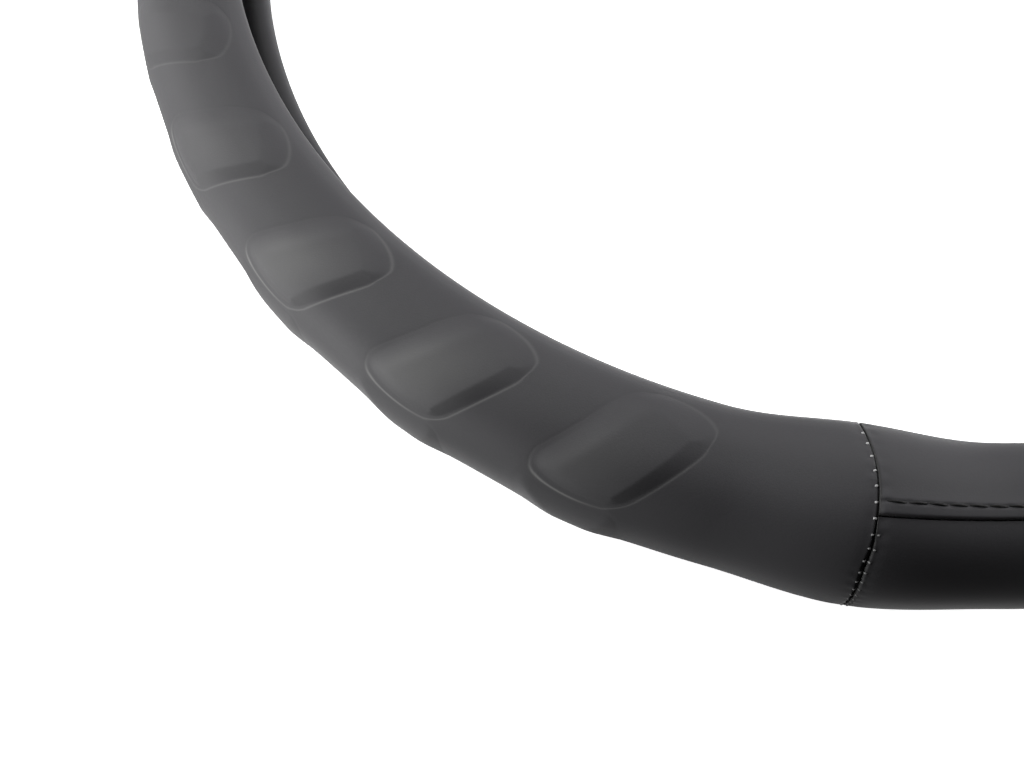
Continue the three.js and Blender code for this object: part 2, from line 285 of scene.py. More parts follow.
def arc_table():
    """Stations, four to a degree from the inner side by way of the back, and the length up to each."""
    stations = np.linspace(-180, 180, 1441)
    x, y = section_point(stations, 0)
    return stations, np.concatenate([[0], np.cumsum(np.hypot(np.diff(x), np.diff(y)))])


ARC_STATIONS, ARC_LENGTHS = arc_table()


def arc_length(station):
    return np.interp(station, ARC_STATIONS, ARC_LENGTHS)


def station_at(length):
    return np.interp(length, ARC_LENGTHS, ARC_STATIONS)


def around(angle_step, station):
    """Millimetres along the ring for a step of ring angle at a station."""
    return np.radians(angle_step) * (LINE_RADIUS + section_point(station, 0)[0])


def from_lip(lip, length):
    """The station at some millimetres from a lip, measured half way into the hem."""
    side = math.copysign(1, lip)
    here, next_to = section_point(lip, HEM_DEPTH / 2), section_point(lip - side, HEM_DEPTH / 2)
    step = math.hypot(next_to[0] - here[0], next_to[1] - here[1])
    return lip - side * length / step


def smooth(value):
    """0 to 1 with soft ends."""
    value = np.clip(value, 0, 1)
    return value * value * (3 - 2 * value)


def ramp(value, start, end):
    """A soft change from 0 at one value to 1 at another."""
    return smooth((value - start) / (end - start))


def blend(first, second, share):
    return first + (second - first) * share


def bell(value, middle, width):
    """1 at a middle, falling to 0 on both sides."""
    return np.exp(-((value - middle) / width) ** 2)


def wave(value):
    """0 to 1 and back, with 1 at each whole number."""
    return 0.5 + 0.5 * np.cos(2 * np.pi * value)


def both(first, second, radius):
    """Distance inside two outlines at once, with the corner between them rounded."""
    near = np.hypot(np.maximum(radius - first, 0), np.maximum(radius - second, 0))
    return np.where((first < radius) & (second < radius), radius - near, np.minimum(first, second))


def seam_rise(distance):
    """Raised leather beside a cross seam, at an angle's distance from it."""
    return SEAM_RISE * smooth(1 - distance / SEAM_RISE_REACH)


def seam_swing(station):
    """Degrees by which a cross seam lies nearer to the grip than it does on the front face."""
    inner = INNER_SWING * ramp(station, *INNER_SWING_STATIONS)
    return inner + OUTER_SWING * ramp(station, *OUTER_SWING_STATIONS)


def grip_distance(angle, station):
    return GRIP_SPAN / 2 - seam_swing(station) - np.abs(angle - 180)


def strip_distance(angle, station):
    return SHORT_SPAN / 2 + seam_swing(station) - np.abs(angle - 270)


def seam_edge(distance, station, share=1.0):
    """The turned edge that rolls down into the seam, with a pucker at each stitch."""
    inset = around(distance, station)
    size = blend(share, 1 + SEAM_EDGE_GROWTH * share ** 0.5, ramp(station, *SEAM_GROWTH_STATIONS))
    roll = size * np.clip(1 - inset / (SEAM_EDGE_WIDTH * size), 0, 1) ** 2
    pucker = wave(arc_length(station) / CROSS_PITCH) * bell(inset, PUCKER_INSET, PUCKER_WIDTH)
    return -SEAM_EDGE_DROP * roll - PUCKER_DEPTH * pucker


def seam_shade(distance, station):
    """1 on the turned edges in a cross seam, where shade is painted into the colour, falling to 0 beside
    it.
    """
    size = 1 + SEAM_EDGE_GROWTH * ramp(station, *SEAM_GROWTH_STATIONS)
    return bell(around(distance, station), 0, SEAM_SHADE_WIDTH * size)


def pad_lean(station):
    """Degrees by which the slanted pads lie aside at a station."""
    return PAD_SLANT * (np.clip(station, PAD_SLANT_START, PAD_INNER_END) - PAD_CENTRE)


def pad_inside(lean, station):
    """Millimetres inside the outline of a front pad; the inner end falls away on one side."""
    length = arc_length(station)
    left = around(lean + PAD_LEFT, station) * PAD_LEFT_EASE
    right = around(PAD_RIGHT - lean, station)
    fall = np.clip((lean + PAD_FALL_START) / (PAD_RIGHT + PAD_FALL_START), 0, 1)
    drop = (1 - fall ** PAD_FALL_POWER) ** (1 / PAD_FALL_POWER)
    inner_end = blend(PAD_INNER_SHOULDER, PAD_INNER_END, drop)
    inner = (arc_length(inner_end) - length) * PAD_INNER_EASE
    outer_end = PAD_OUTER_END + PAD_OUTER_BOW * (lean - PAD_OUTER_MIDDLE) ** 2
    outer = (length - arc_length(outer_end)) * PAD_OUTER_EASE
    sides = both(left, right, PAD_SIDE_ROUNDING)
    return both(both(sides, inner, PAD_INNER_ROUNDING), outer, PAD_OUTER_ROUNDING)


def bump_inside(lean, station):
    """Millimetres inside the outline of a bump on the outer side."""
    length = arc_length(station)
    sides = np.minimum(around(BUMP_HALF_WIDTH + lean, station), around(BUMP_HALF_WIDTH - lean, station))
    front_end = BUMP_FRONT_END + BUMP_FRONT_BOW * (lean - BUMP_FRONT_MIDDLE) ** 2
    front = (arc_length(front_end) - length) * BUMP_FRONT_EASE
    back = length - arc_length(BUMP_BACK_END)
    return both(both(sides, front, BUMP_FRONT_ROUNDING), back, BUMP_BACK_ROUNDING)


def swell(inside, height, slope, rounding):
    """Rises from a crease over an even slope to a flat top, with rounded corners."""
    share = inside / slope
    rise = np.hypot(share, rounding) - np.hypot(share - 1, rounding)
    return height * (rise + 1) / 2 - CREASE_DEPTH * bell(inside, -CREASE_WIDTH, CREASE_WIDTH)


def nearest(lean):
    """The same lean counted from the nearest of the pads."""
    return lean - PAD_PITCH * np.clip(np.round(lean / PAD_PITCH), 0, PAD_COUNT - 1)


def pad_places(angle, station):
    """Millimetres inside a pad and inside a bump of the left grip."""
    pad = pad_inside(nearest(angle - PAD_FIRST - pad_lean(station)), station)
    bump = bump_inside(nearest(angle - PAD_FIRST - BUMP_LEAN), station)
    return pad, bump


def pad_relief(angle, station):
    """Height of the pressed pads of the left grip over the plain surface."""
    pad, bump = pad_places(angle, station)
    pad = swell(pad, PAD_HEIGHT, PAD_SLOPE, FOOT_ROUNDING)
    return np.maximum(pad, swell(bump, BUMP_HEIGHT, BUMP_SLOPE, BUMP_ROUNDING))


def hand_share(angle):
    """1 where a hand rubs the ring most, falling to 0 away from there."""
    return bell(angle, WORN_ANGLE, WORN_REACH)


def worn_share(angle, station):
    """How rubbed a front pad is: most about its middle, and hardly at its foot."""
    lean = nearest(angle - PAD_FIRST - pad_lean(station))
    middle = bell(lean, WORN_LEAN, WORN_WIDTH) * bell(station, WORN_STATION, WORN_LENGTH)
    return hand_share(angle) * middle * smooth(pad_places(angle, station)[0] / PAD_SLOPE + WORN_FOOT_SHARE)


def line_highlight_share(angle, station):
    """How clearly the highlight painted along the line pressed round a pad shows: least on its left side,
    most at its outer end.
    """
    lean = nearest(angle - PAD_FIRST - pad_lean(station))
    left = ramp(lean + PAD_LEFT, *LEFT_LINE_LEANS)
    inner = ramp(station, *INNER_LINE_STATIONS)
    outer = ramp(station, *OUTER_LINE_STATIONS) * ramp(lean, *OUTER_LINE_LEANS)
    plain = PLAIN_LINE_SHARE * blend(FAR_LINE_SHARE, 1, hand_share(angle))
    share = blend(plain, 1, outer) * blend(1, INNER_LINE_SHARE, inner)
    return share * blend(LEFT_LINE_SHARE, 1, left)


def grip_relief(angle, station):
    distance = grip_distance(angle, station)
    return pad_relief(angle, station) + seam_rise(distance) + seam_edge(distance, station)


def nose_curve(lip, outer_depth, inner_depth, inset, nose, steps):
    """Stations and depths of half an ellipse round a lip, from the outer face to the inner one."""
    turn = np.linspace(0, np.pi, steps + 1)
    stations = from_lip(lip, inset + nose * (1 - np.sin(turn)))
    return stations, blend(outer_depth, inner_depth, (1 - np.cos(turn)) / 2)


def turned_lip(lip):
    """Leather round one lip: out round the nose, along the hem to its raw edge, and back inside."""
    outside = nose_curve(lip, 0, HEM_DEPTH, 0, LIP_NOSE, NOSE_STEPS)
    raw_edge = HEM_DEPTH - LEATHER
    inside = nose_curve(lip, LEATHER, raw_edge, LEATHER, LIP_NOSE, INNER_NOSE_STEPS)
    hem = from_lip(lip, np.linspace(LIP_NOSE, HEM_WIDTH, HEM_STEPS + 1)[1:])
    stations = np.concatenate([outside[0][1:], hem, hem[-1:], inside[0][::-1]])
    depths = np.concatenate([
        outside[1][1:], np.full(len(hem), HEM_DEPTH), [raw_edge], inside[1][::-1],
    ])
    return stations, depths


def mesh_from_grid(name, points, endless=False, marks=None):
    """A closed body from rows of points, each row once round the section, with values for its material."""
    rows, count = points.shape[:2]
    row = np.arange(rows if endless else rows - 1)[:, None]
    at = np.arange(count)[None, :]
    start, after = row * count, (at + 1) % count
    following = (row + 1) % rows * count
    quads = np.stack([start + at, start + after, following + after, following + at], -1).reshape(-1, 4)
    faces = quads.tolist()
    if not endless:
        faces.append(list(range(count - 1, -1, -1)))
        faces.append(list(range((rows - 1) * count, rows * count)))
    mesh = bpy.data.meshes.new(name)
    mesh.from_pydata((points.reshape(-1, 3) * MM).tolist(), [], faces)
    mesh.polygons.foreach_set("use_smooth", [True] * len(faces))
    for mark, values in (marks or {}).items():
        mesh.attributes.new(mark, "FLOAT", "POINT").data.foreach_set("value", values.ravel())
    piece = bpy.data.objects.new(name, mesh)
    bpy.context.scene.collection.objects.link(piece)
    face_out(mesh)
    return piece


def face_out(mesh):
    """Turns every face round where the body is inside out."""
    mesh.calc_loop_triangles()
    corners = np.zeros(len(mesh.loop_triangles) * 3, np.int32)
    mesh.loop_triangles.foreach_get("vertices", corners)
    places = np.zeros(len(mesh.vertices) * 3)
    mesh.vertices.foreach_get("co", places)
    a, b, c = (places.reshape(-1, 3)[corners[k::3]] for k in range(3))
    if np.einsum("ij,ij->i", a, np.cross(b, c)).sum() < 0:
        mesh.flip_normals()
    mesh.update()


def grip_columns():
    """Ring angles of the grip's columns, and how far each follows the slant of the pads."""
    gap = math.degrees(SEAM_GAP / 2 / LINE_RADIUS)
    start = 180 - GRIP_SPAN / 2
    reach = PAD_FIRST - PAD_LEFT - COLUMN_STEP - start
    plain = np.linspace(SEAM_COLUMNS[-1] + COLUMN_STEP, reach - COLUMN_STEP, END_COLUMNS)
    end = np.concatenate([SEAM_COLUMNS + gap, plain])
    pad = np.concatenate([np.arange(first, last, step) for first, last, step in PAD_COLUMNS])
    pads = [PAD_FIRST + PAD_PITCH * number + pad for number in range(PAD_COUNT)]
    columns = np.concatenate([start + end, *pads, (360 - start - end)[::-1]])
    low, high = start + end[-1], 360 - start - end[-1]
    columns = np.unique(columns[(columns <= low) | (columns > low + COLUMN_GAP)])
    columns = columns[(columns >= high) | (columns < high - COLUMN_GAP)]
    return columns, smooth((GRIP_SPAN / 2 - np.abs(columns - 180)) / (reach - SLANT_MARGIN))


def face_rows():
    """Stations of the grip's mesh from lip to lip, close together at the ends of the pads."""
    lengths = arc_length([from_lip(FRONT_LIP, LIP_NOSE), *FACE_MARKS, from_lip(BACK_LIP, LIP_NOSE)])
    rows = [
        np.linspace(high, low, round((high - low) / step), endpoint=False)
        for high, low, step in zip(lengths, lengths[1:], FACE_STEPS)
    ]
    return station_at(np.concatenate([*rows, lengths[-1:]]))


def grip_panel_points():
    """The left grip panel, from lip to lip round the outside and back along its hidden face."""
    columns, slant = (values[:, None] for values in grip_columns())

    def ring_angle(station):
        swing = np.sign(180 - columns) * seam_swing(station)
        return columns + slant * pad_lean(station) + (1 - slant) * swing

    face = face_rows()[None, :]
    angles = ring_angle(face)
    outside = ring_point(angles, face, -grip_relief(angles, face))
    hidden = np.linspace(*(from_lip(lip, SHOULDER_WIDTH) for lip in (BACK_LIP, FRONT_LIP)), HIDDEN_ROWS)
    back, front = turned_lip(BACK_LIP), turned_lip(FRONT_LIP)
    stations = np.concatenate([back[0], hidden, front[0][::-1]])[None, :]
    depths = np.concatenate([back[1], np.full(len(hidden), LEATHER), front[1][::-1]])[None, :]
    outward = np.clip(1 - depths / LEATHER, 0, 1)
    inner_angles = ring_angle(stations)
    distance = grip_distance(inner_angles, stations)
    relief = seam_rise(distance) + seam_edge(distance, stations)
    inside = ring_point(inner_angles, stations, depths - outward * relief)
    plain = np.zeros(inside.shape[:2])
    outline = np.clip(pad_places(angles, face)[0], -OUTLINE_REACH, OUTLINE_REACH)
    painted_shade = seam_shade(grip_distance(angles, face), face)
    # The leather carries the painted highlight along the pad lines ("line") and the painted shade in the
    # cross seams ("edge")
    marks = {
        "worn": np.concatenate([worn_share(angles, face), plain], 1),
        "outline": np.concatenate([outline, plain - OUTLINE_REACH], 1),
        "line": np.concatenate([line_highlight_share(angles, face), plain], 1),
        "edge": np.concatenate([painted_shade, seam_shade(distance, stations)], 1),
    }
    return np.concatenate([outside, inside], 1), marks


def strip_seam(share):
    """Station of the lengthways seam, at a share of the way from the panel's middle to its ends."""
    return STRIP_SEAM_MIDDLE - STRIP_SEAM_DROP * share * share


def strip_fullness(distance, station):
    """The outer side of a short panel stands a little fuller away from the cross seams."""
    away = smooth(distance / SEAM_RISE_REACH)
    return STRIP_FULLNESS * away * bell(station, FULLNESS_STATION, FULLNESS_LENGTH)


def strip_profile(side, inset, angle):
    """Height across a strip beside the lengthways seam: the front one is folded and topstitched."""
    if side < 0:
        return np.zeros(inset.shape)
    away = np.clip(1 - inset / FOLD_ROUNDING, 0, 1)
    roll = FOLD_DROP * (1 - np.sqrt(1 - away ** 2))
    beyond = np.maximum(inset - TOPSTITCH_INSET, 0)
    pull = wave(around(angle, STRIP_SEAM_MIDDLE) / TOPSTITCH_PITCH)
    groove = (GROOVE_DEPTH + GROOVE_PULL * pull) * bell(inset, TOPSTITCH_INSET, GROOVE_WIDTH)
    return FOLD_HEIGHT * np.exp(-beyond / FOLD_FADE) - roll - groove


def strip_seam_relief(distance, station):
    """Height of a strip beside a cross seam, where its edge rolls down less than the grip's."""
    return seam_rise(distance) + seam_edge(distance, station, STRIP_EDGE_SHARE)


def strip_relief(side, inset, angle, station):
    """Height of a strip over the plain surface; its fold flattens out where it runs into a cross seam."""
    distance = strip_distance(angle, station)
    flat = ramp(around(distance, station), -FOLD_END, FOLD_END)
    relief = strip_seam_relief(distance, station) + strip_fullness(distance, station)
    return relief + strip_profile(side, inset, angle) * flat


def strip_points(side, lip, wide_rows, hidden_rows):
    """A strip of the bottom panel, from the lengthways seam to a lip and back along its hidden face."""
    gap = math.degrees(SEAM_GAP / 2 / LINE_RADIUS)
    end = np.concatenate([SEAM_COLUMNS + gap, [STRIP_END_COLUMN]])
    middle = np.linspace(STRIP_MIDDLE_START, SHORT_SPAN - STRIP_MIDDLE_START, STRIP_COLUMNS)
    columns = 270 - SHORT_SPAN / 2 + np.concatenate([end, middle, (SHORT_SPAN - end)[::-1]])[:, None]

    def ring_angle(station):
        return 270 + (columns - 270) * (1 + seam_swing(station) / (SHORT_SPAN / 2))

    share = np.abs(columns - 270) / (SHORT_SPAN / 2)
    seam = arc_length(strip_seam(share)) + side * FOLD_GAP / 2
    roll = FOLD_ROUNDING * (1 - np.cos(np.linspace(0, np.pi / 2, FOLD_ROWS)))
    fine = np.concatenate([roll, STRIP_ROWS])
    wide = np.linspace(0, 1, wide_rows)[1:]
    width = side * (arc_length(from_lip(lip, LIP_NOSE)) - seam)
    inset = np.concatenate([
        np.broadcast_to(fine, (len(columns), len(fine))),
        blend(fine[-1], width, wide),
    ], 1)
    face = station_at(seam + side * inset)
    angles = ring_angle(face)
    outside = ring_point(angles, face, -strip_relief(side, inset, angles, face))
    # Painted shade in the cross seams
    painted_shade = seam_shade(strip_distance(angles, face), face)
    turned = turned_lip(lip)
    shoulder = from_lip(lip, SHOULDER_WIDTH)
    hidden = blend(shoulder, station_at(seam), np.linspace(0, 1, hidden_rows)[None, :])
    stations = np.concatenate([np.broadcast_to(turned[0], (len(columns), len(turned[0]))), hidden], 1)
    depths = np.concatenate([turned[1], np.full(hidden_rows, LEATHER)])[None, :]
    outward = np.clip(1 - depths / LEATHER, 0, 1)
    angles = ring_angle(stations)
    distance = strip_distance(angles, stations)
    inside = ring_point(angles, stations, depths - outward * strip_seam_relief(distance, stations))
    marks = {"edge": np.concatenate([painted_shade, seam_shade(distance, stations)], 1)}
    return np.concatenate([outside, inside], 1), marks


def liner_points():
    """The moulded rubber ring, with fine ribs on the face that grips the wheel."""
    nose = LIP_NOSE - FIT_GAP
    front, back = (
        nose_curve(lip, FOAM_DEPTH, LINER_DEPTH, LEATHER + FIT_GAP, nose, LINER_NOSE_STEPS)
        for lip in (FRONT_LIP, BACK_LIP)
    )
    shoulders = [from_lip(FRONT_LIP, SHOULDER_WIDTH), from_lip(BACK_LIP, SHOULDER_WIDTH)]
    pocket = np.linspace(*shoulders, LINER_POCKET_ROWS)
    inner_ends = [from_lip(lip, HEM_WIDTH + LINER_HEM_MARGIN) for lip in (BACK_LIP, FRONT_LIP)]
    inner = np.linspace(*inner_ends, LINER_INNER_ROWS)
    ribs = 1 - wave(np.linspace(0, LINER_RIBS, LINER_INNER_ROWS))
    stations = np.concatenate([
        front[0][::-1], shoulders[:1], pocket, shoulders[1:], back[0], inner,
    ])[None, :]
    depths = np.concatenate([
        front[1][::-1], [FOAM_DEPTH], np.full(len(pocket), RUBBER_DEPTH), [FOAM_DEPTH], back[1],
        LINER_DEPTH + LINER_RIB_DEPTH * ribs,
    ])[None, :]
    angles = np.linspace(0, 360, LINER_COLUMNS, endpoint=False)[:, None]
    return ring_point(angles, stations, depths)


class Shade:
    """A shader socket with arithmetic, inside one node tree."""

    def __init__(self, tree, socket):
        self.tree = tree
        self.socket = socket

    def math(self, operation, *values):
        return node(self.tree, "ShaderNodeMath", {"operation": operation}, dict(enumerate(values)))

    def __add__(self, other):
        return self.math("ADD", self, other)

    def __sub__(self, other):
        return self.math("SUBTRACT", self, other)

    def __rsub__(self, other):
        return self.math("SUBTRACT", other, self)

    def __mul__(self, other):
        return self.math("MULTIPLY", self, other)

    __radd__ = __add__
    __rmul__ = __mul__

    def exponent(self):
        return self.math("EXPONENT", self)

    def limits(self, low, high):
        return self.math("MINIMUM", self.math("MAXIMUM", self, low), high)


def node(tree, kind, settings=None, sockets=None, out=0):
    """Adds a node: settings first, then values and links of its sockets."""
    added = tree.nodes.new(kind)
    for name, value in (settings or {}).items():
        setattr(added, name, value)
    for name, value in (sockets or {}).items():
        if isinstance(value, Shade):
            tree.links.new(value.socket, added.inputs[name])
        else:
            added.inputs[name].default_value = value
    return Shade(tree, added.outputs[out])


def shader(name, settings):
    """A material with its Principled shader's constant values."""
    material = bpy.data.materials.new(name)
    material.use_nodes = True
    principled = material.node_tree.nodes["Principled BSDF"]
    for socket, value in settings.items():
        principled.inputs[socket].default_value = value
    return material, material.node_tree, principled


def noise(tree, scale, detail=2.0, roughness=0.5):
    place = node(tree, "ShaderNodeTexCoord", out="Object")
    sockets = {"Vector": place, "Scale": scale, "Detail": detail, "Roughness": roughness}
    return node(tree, "ShaderNodeTexNoise", None, sockets)


def leather_mark(tree, name):
    """A value that the mesh of the leather carries."""
    return node(tree, "ShaderNodeAttribute", {"attribute_name": name}, out="Fac")


def mix_colour(tree, factor, first, second):
    """Two colours mixed; sockets 0, 6 and 7 are the Mix node's factor and colours, and 2 its result."""
    mixed = tree.nodes.new("ShaderNodeMix")
    mixed.data_type = "RGBA"
    tree.links.new(factor.socket, mixed.inputs[0])
    for socket, colour in zip((6, 7), (first, second)):
        if isinstance(colour, Shade):
            tree.links.new(colour.socket, mixed.inputs[socket])
        else:
            mixed.inputs[socket].default_value = (*colour, 1)
    return Shade(tree, mixed.outputs[2])


def bump(tree, height, distance, strength=1.0, under=None):
    """Relief of some metres, on top of another bump where one is given."""
    sockets = {"Height": height, "Distance": distance, "Strength": strength}
    if under:
        sockets["Normal"] = under
    return node(tree, "ShaderNodeBump", None, sockets)


def drive(tree, principled, values):
    """Links what changes over a surface to the sockets of its Principled shader."""
    for name, value in values.items():
        tree.links.new(value.socket, principled.inputs[name])


def charcoal_leather():
    """Smooth satin microfibre leather: fine grain, rubbed pads, pressed lines with a painted highlight
    along them, and painted shade in the cross seams.
    """
    material, tree, principled = shader("charcoal_leather", {
        "Specular IOR Level": 0.4, "Sheen Weight": 0.25, "Sheen Roughness": 0.3,
    })
    patches = noise(tree, 28, 3)
    grain = noise(tree, 2600, 2, 0.6)
    creases = noise(tree, 420, 3, 0.55)
    tone = (patches * 1.6 - 0.3).limits(0, 1)
    colour = mix_colour(tree, tone, CHARCOAL_DARK, CHARCOAL_LIGHT)
    rubbed = (leather_mark(tree, "worn") * (patches * 0.8 + 0.6)).limits(0, 1)
    colour = mix_colour(tree, rubbed, colour, RUBBED_COLOUR)
    foot = (leather_mark(tree, "outline") + PRESS_LINE) * (1 / PRESS_LINE)
    line = (foot * foot * -1.0).exponent()
    # Painted highlight along the pressed line round each pad
    colour = mix_colour(tree, line * leather_mark(tree, "line"), colour, LINE_HIGHLIGHT_COLOUR)
    # Painted shade down in the cross seams
    colour = mix_colour(tree, leather_mark(tree, "edge"), colour, SEAM_SHADE_COLOUR)
    pressed_line = bump(tree, line * -1.0, PRESS_LINE_DEPTH * MM)
    drive(tree, principled, {
        "Base Color": colour,
        "Roughness": 0.63 + patches * 0.08 + grain * 0.06,
        "Normal": bump(tree, grain * 0.7 + creases * 0.3, 0.00006, 0.5, pressed_line),
    })
    return material


def liner_rubber():
    """Matt black rubber with a fine moulded texture."""
    material, tree, principled = shader("liner_rubber", {"Specular IOR Level": 0.4})
    grain = noise(tree, 1500)
    drive(tree, principled, {
        "Base Color": mix_colour(tree, grain, (0.010, 0.010, 0.011), (0.016, 0.016, 0.017)),
        "Roughness": 0.6 + grain * 0.15,
        "Normal": bump(tree, grain, 0.0001, 0.5),
    })
    return material


def padding_foam():
    """Open-cell foam, seen only where a panel is lifted."""
    material, tree, principled = shader("padding_foam", {"Roughness": 0.95})
    cells = noise(tree, 1800, 1)
    drive(tree, principled, {
        "Base Color": mix_colour(tree, cells, (0.06, 0.06, 0.058), (0.12, 0.12, 0.116)),
        "Normal": bump(tree, cells, 0.0003, 0.6),
    })
    return material


def thread(name, dark, light, gloss):
    """Twisted sewing thread."""
    material, tree, principled = shader(name, {"Roughness": 0.7, "Specular IOR Level": gloss})
    twist = noise(tree, 3500, 1)
    drive(tree, principled, {
        "Base Color": mix_colour(tree, twist, dark, light),
        "Normal": bump(tree, twist, 0.0001, 0.5),
    })
    return material


LEATHER_LOOK = charcoal_leather()
RUBBER_LOOK = liner_rubber()
FOAM_LOOK = padding_foam()
GREY_THREAD = thread("grey_thread", (0.11, 0.11, 0.11), (0.19, 0.19, 0.19), 0.3)
LIGHT_THREAD = thread("light_thread", (0.24, 0.24, 0.24), (0.36, 0.36, 0.36), 0.3)
BLACK_THREAD = thread("black_thread", (0.004, 0.004, 0.004), (0.012, 0.012, 0.012), 0.2)


def finish_piece(piece, look, nodes):
    piece.data.materials.append(look)
    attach(piece, "root")
    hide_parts(*nodes)


def mirrored(points):
    return points * np.array([-1, 1, 1])


def turned_round(points):
    return points * np.array([-1, -1, 1])


def upside_turned(points):
    return points * np.array([1, -1, 1])


def build_leather():
    grip, marks = grip_panel_points()
    front, front_marks = strip_points(1, FRONT_LIP, *FRONT_STRIP_ROWS)
    back, back_marks = strip_points(-1, BACK_LIP, *BACK_STRIP_ROWS)
    pieces = [
        ("left_grip_leather", grip, marks, "left_grip_panel"),
        ("right_grip_leather", mirrored(grip), marks, "right_grip_panel"),
        ("bottom_front_leather", front, front_marks, "bottom_front_panel"),
        ("bottom_back_leather", back, back_marks, "bottom_back_panel"),
        ("top_front_leather", turned_round(front), front_marks, "top_front_panel"),
        ("top_back_leather", turned_round(back), back_marks, "top_back_panel"),
    ]
    for name, points, values, cad_node in pieces:
        piece = mesh_from_grid(name, points, marks=values)
        finish_piece(piece, LEATHER_LOOK, [cad_node])


def stitch_tree():
    """A row of thread loops along a path whose points know which way the leather faces."""
    tree = bpy.data.node_groups.new("stitch_row", "GeometryNodeTree")
    sizes = [
        ("Path", "Geometry"), ("Stitch count", "Int"), ("Thread radius", "Float"), ("Loop start", "Vector"),
        ("Loop top", "Vector"), ("Loop end", "Vector"), ("Both sides", "Bool"), ("Lean", "Float"),
        ("Seed", "Int"), ("Thread", "Material"),
    ]
    for name, kind in sizes:
        tree.interface.new_socket(name, in_out="INPUT", socket_type="NodeSocket" + kind)
    tree.interface.new_socket("Stitches", in_out="OUTPUT", socket_type="NodeSocketGeometry")
    given = tree.nodes.new("NodeGroupInput")
    size = {name: Shade(tree, given.outputs[name]) for name, _ in sizes}
    path = node(tree, "GeometryNodeMeshToCurve", None, {"Mesh": size["Path"]})
    places = node(tree, "GeometryNodeResampleCurve", {"mode": "COUNT"},
                  {"Curve": path, "Count": size["Stitch count"]})
    up = node(tree, "GeometryNodeInputNamedAttribute", {"data_type": "FLOAT_VECTOR"}, {"Name": "face_up"})
    along = node(tree, "GeometryNodeInputTangent")
    turn = node(tree, "FunctionNodeAxesToRotation", {"primary_axis": "Z", "secondary_axis": "Y"},
                {"Primary Axis": up, "Secondary Axis": along})
    lean = node(tree, "FunctionNodeRandomValue", {"data_type": "FLOAT"},
                {2: size["Lean"] * -1.0, 3: size["Lean"], 8: size["Seed"]}, out=1)
    lean = node(tree, "ShaderNodeCombineXYZ", None, {"Z": lean})
    lean = node(tree, "FunctionNodeEulerToRotation", None, {"Euler": lean})
    turn = node(tree, "FunctionNodeRotateRotation", {"rotation_space": "LOCAL"},
                {"Rotation": turn, "Rotate By": lean})
    loop = node(tree, "GeometryNodeCurveQuadraticBezier", None, {
        "Resolution": 7, "Start": size["Loop start"], "Middle": size["Loop top"], "End": size["Loop end"],
    })
    profile = node(tree, "GeometryNodeCurvePrimitiveCircle", None,
                   {"Resolution": 6, "Radius": size["Thread radius"]})
    loop = node(tree, "GeometryNodeCurveToMesh", None,
                {"Curve": loop, "Profile Curve": profile, "Fill Caps": True})
    twin = node(tree, "GeometryNodeTransform", None, {"Geometry": loop, "Rotation": (0, 0, math.pi)})
    pair = tree.nodes.new("GeometryNodeJoinGeometry")
    for half in (loop, twin):
        tree.links.new(half.socket, pair.inputs[0])
    loops = node(tree, "GeometryNodeSwitch", {"input_type": "GEOMETRY"},
                 {"Switch": size["Both sides"], "False": loop, "True": Shade(tree, pair.outputs[0])})
    loops = node(tree, "GeometryNodeSetShadeSmooth", None, {"Geometry": loops})
    sewn = node(tree, "GeometryNodeInstanceOnPoints", None,
                {"Points": places, "Instance": loops, "Rotation": turn})
    sewn = node(tree, "GeometryNodeRealizeInstances", None, {"Geometry": sewn})
    sewn = node(tree, "GeometryNodeSetMaterial", None, {"Geometry": sewn, "Material": size["Thread"]})
    result = tree.nodes.new("NodeGroupOutput")
    tree.links.new(sewn.socket, result.inputs[0])
    return tree


def sew(name, rows, look, loop, radius, both_sides):
    """Sews a stitch at each point of some rows; a row holds its places on the leather and the way up."""
    count = len(rows[0][0])
    places = np.concatenate([row[0] for row in rows])
    ups = np.concatenate([row[1] for row in rows])
    edges = [(start + k, start + k + 1) for start in range(0, len(places), count) for k in range(count - 1)]
    mesh = bpy.data.meshes.new(name + "_path")
    mesh.from_pydata((places * MM).tolist(), edges, [])
    mesh.attributes.new("face_up", "FLOAT_VECTOR", "POINT").data.foreach_set("vector", ups.ravel())
    guide = bpy.data.objects.new(name + "_path", mesh)
    bpy.context.scene.collection.objects.link(guide)
    modifier = guide.modifiers.new("stitches", "NODES")
    modifier.node_group = STITCH_TREE
    start, top, end = (tuple(value * MM for value in corner) for corner in loop)
    sizes = {
        "Stitch count": count, "Thread radius": radius * MM, "Loop start": start, "Loop top": top,
        "Loop end": end, "Both sides": both_sides, "Lean": STITCH_LEAN, "Seed": STITCH_SEED, "Thread": look,
    }
    for socket in STITCH_TREE.interface.items_tree:
        if socket.name in sizes:
            modifier[socket.identifier] = sizes[socket.name]
    evaluated = guide.evaluated_get(bpy.context.evaluated_depsgraph_get())
    thread_mesh = bpy.data.meshes.new_from_object(evaluated)
    guide.modifiers.remove(modifier)
    bpy.data.objects.remove(guide)
    piece = bpy.data.objects.new(name, thread_mesh)
    bpy.context.scene.collection.objects.link(piece)
    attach(piece, "root")


def leather_up(angle, station):
    """Which way the plain surface faces."""
    way = ring_point(angle, station, -1.0) - ring_point(angle, station, 0.0)
    return way / np.linalg.norm(way, axis=-1, keepdims=True)


def cross_seam_row():
    """Places of the stitches over the left bottom cross seam, one at each pucker of its edges."""
    ends = [arc_length(from_lip(lip, CROSS_FIRST)) / CROSS_PITCH for lip in (BACK_LIP, FRONT_LIP)]
    stations = station_at(np.arange(math.ceil(ends[0]), math.floor(ends[1]) + 1) * CROSS_PITCH)
    angle = 270 - SHORT_SPAN / 2 - seam_swing(stations)
    places = ring_point(angle, stations, CROSS_BED - SEAM_RISE)
    places[:, 2] = np.maximum(places[:, 2], STITCH_FLOOR)
    return places, leather_up(angle, stations), stations < CROSS_PAIR_STATION


